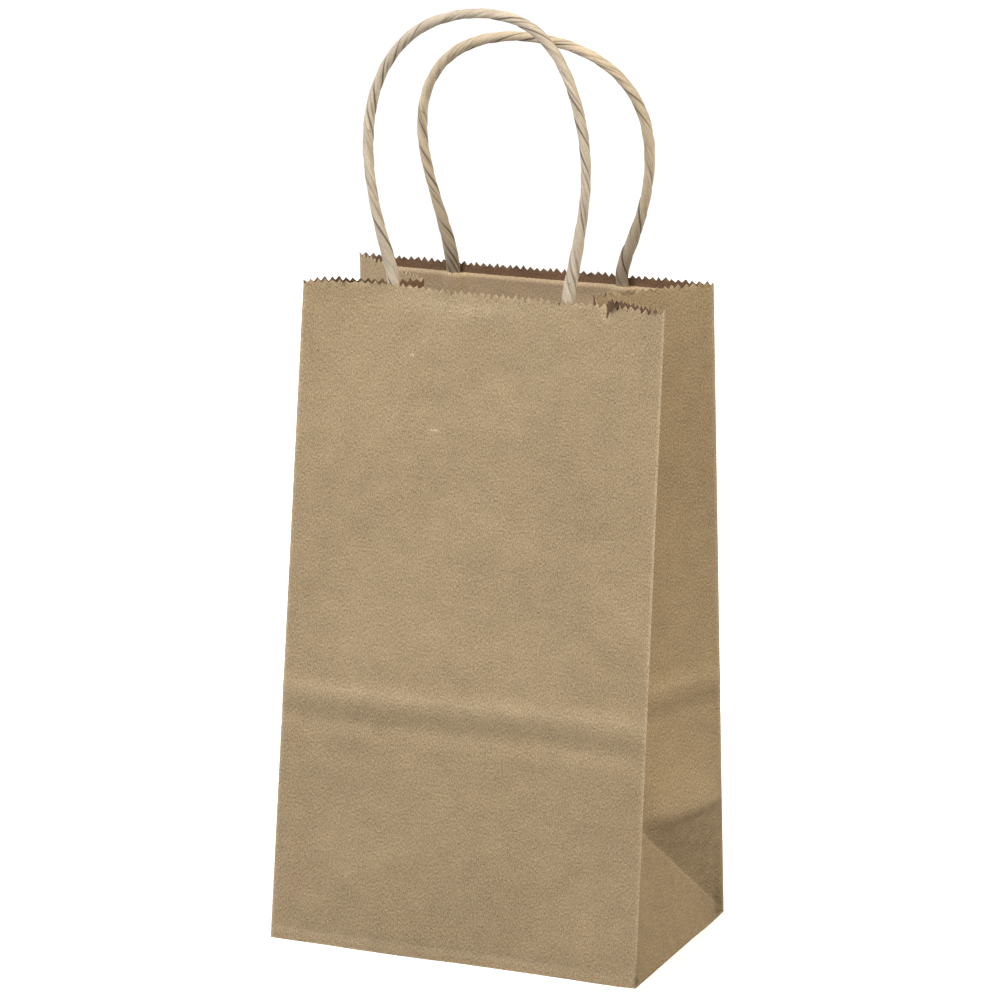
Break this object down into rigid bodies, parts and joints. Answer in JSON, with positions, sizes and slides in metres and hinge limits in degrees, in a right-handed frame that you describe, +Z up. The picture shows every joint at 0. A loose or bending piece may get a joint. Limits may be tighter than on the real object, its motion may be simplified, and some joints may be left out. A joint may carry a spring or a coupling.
{
  "type": "gift bag",
  "caption": "Plain brown kraft-paper gift bag with folded-in side gussets, a pinked mouth and twisted-paper rope handles.",
  "frame": {"origin": "middle of the base, on the surface the bag stands on", "axes": "+Z up, +X to the right along the bag's width, -Y out of the front wall, +Y towards the back wall"},
  "size_m": [0.1334, 0.0849, 0.3174],
  "materials": {
    "kraft_sheet": "uncoated brown kraft paper, matt, with fine fibres",
    "patch_strip": "uncoated kraft strip, matt, a little greyer than the bag",
    "twisted_rope": "twisted light kraft paper rope, matt"
  },
  "bodies": {
    "root": {"back_panel": "kraft_sheet", "base_outer_flap": "kraft_sheet", "base_inner_flap": "kraft_sheet", "glued_seam_flap": "kraft_sheet", "base_tuck_flap_right": "kraft_sheet", "base_tuck_flap_left": "kraft_sheet", "base_side_triangle_right": "kraft_sheet", "base_side_triangle_left": "kraft_sheet", "gusset_rear_corner_right": "kraft_sheet", "gusset_rear_corner_left": "kraft_sheet", "back_patch_outer_ply": "patch_strip", "back_patch_inner_ply": "patch_strip", "back_handle_end_left": "twisted_rope", "back_handle_end_right": "twisted_rope"},
    "front_wall": {"front_panel": "kraft_sheet", "gusset_front_corner_right": "kraft_sheet", "gusset_front_corner_left": "kraft_sheet", "front_patch_outer_ply": "patch_strip", "front_patch_inner_ply": "patch_strip", "front_handle_end_left": "twisted_rope", "front_handle_end_right": "twisted_rope"},
    "gusset_front_right": {"gusset_front_half_right": "kraft_sheet"},
    "gusset_front_left": {"gusset_front_half_left": "kraft_sheet"},
    "gusset_rear_right": {"gusset_rear_half_right": "kraft_sheet"},
    "gusset_rear_left": {"gusset_rear_half_left": "kraft_sheet"},
    "front_handle": {"front_handle_loop": "twisted_rope"},
    "back_handle": {"back_handle_loop": "twisted_rope"}
  },
  "joints": [
    {"name": "mouth_squeeze", "type": "hinge", "parent": "root", "child": "front_wall", "pos_m": [0, -0.0423, 0.001], "axis": [1, 0, 0], "range_deg": [-3.5, 3]},
    {"name": "gusset_fold_front_right", "type": "hinge", "parent": "front_wall", "child": "gusset_front_right", "pos_m": [0.0667, -0.0425, 0], "axis": [-0.0089, 0.1222, 0.9925], "range_deg": [-10, 12]},
    {"name": "gusset_fold_front_left", "type": "hinge", "parent": "front_wall", "child": "gusset_front_left", "pos_m": [-0.0667, -0.0425, 0], "axis": [0.0089, 0.1222, 0.9925], "range_deg": [-12, 10]},
    {"name": "gusset_fold_rear_right", "type": "hinge", "parent": "root", "child": "gusset_rear_right", "pos_m": [0.0667, 0.0425, 0], "axis": [-0.0089, -0.0511, 0.9987], "range_deg": [-12, 10]},
    {"name": "gusset_fold_rear_left", "type": "hinge", "parent": "root", "child": "gusset_rear_left", "pos_m": [-0.0667, 0.0425, 0], "axis": [0.0089, -0.0511, 0.9987], "range_deg": [-10, 12]},
    {"name": "front_handle_swing", "type": "hinge", "parent": "front_wall", "child": "front_handle", "pos_m": [0, -0.01354, 0.22535], "axis": [1, 0, 0], "range_deg": [-1, 90]},
    {"name": "back_handle_swing", "type": "hinge", "parent": "root", "child": "back_handle", "pos_m": [0, 0.02969, 0.22684], "axis": [-1, 0, 0], "range_deg": [-1, 90]}
  ],
  "couplings": [
    {"joint": "gusset_fold_front_right", "follows": "mouth_squeeze", "ratio": -3.2},
    {"joint": "gusset_fold_front_left", "follows": "mouth_squeeze", "ratio": 3.2},
    {"joint": "gusset_fold_rear_right", "follows": "mouth_squeeze", "ratio": 3.2},
    {"joint": "gusset_fold_rear_left", "follows": "mouth_squeeze", "ratio": -3.2}
  ]
}
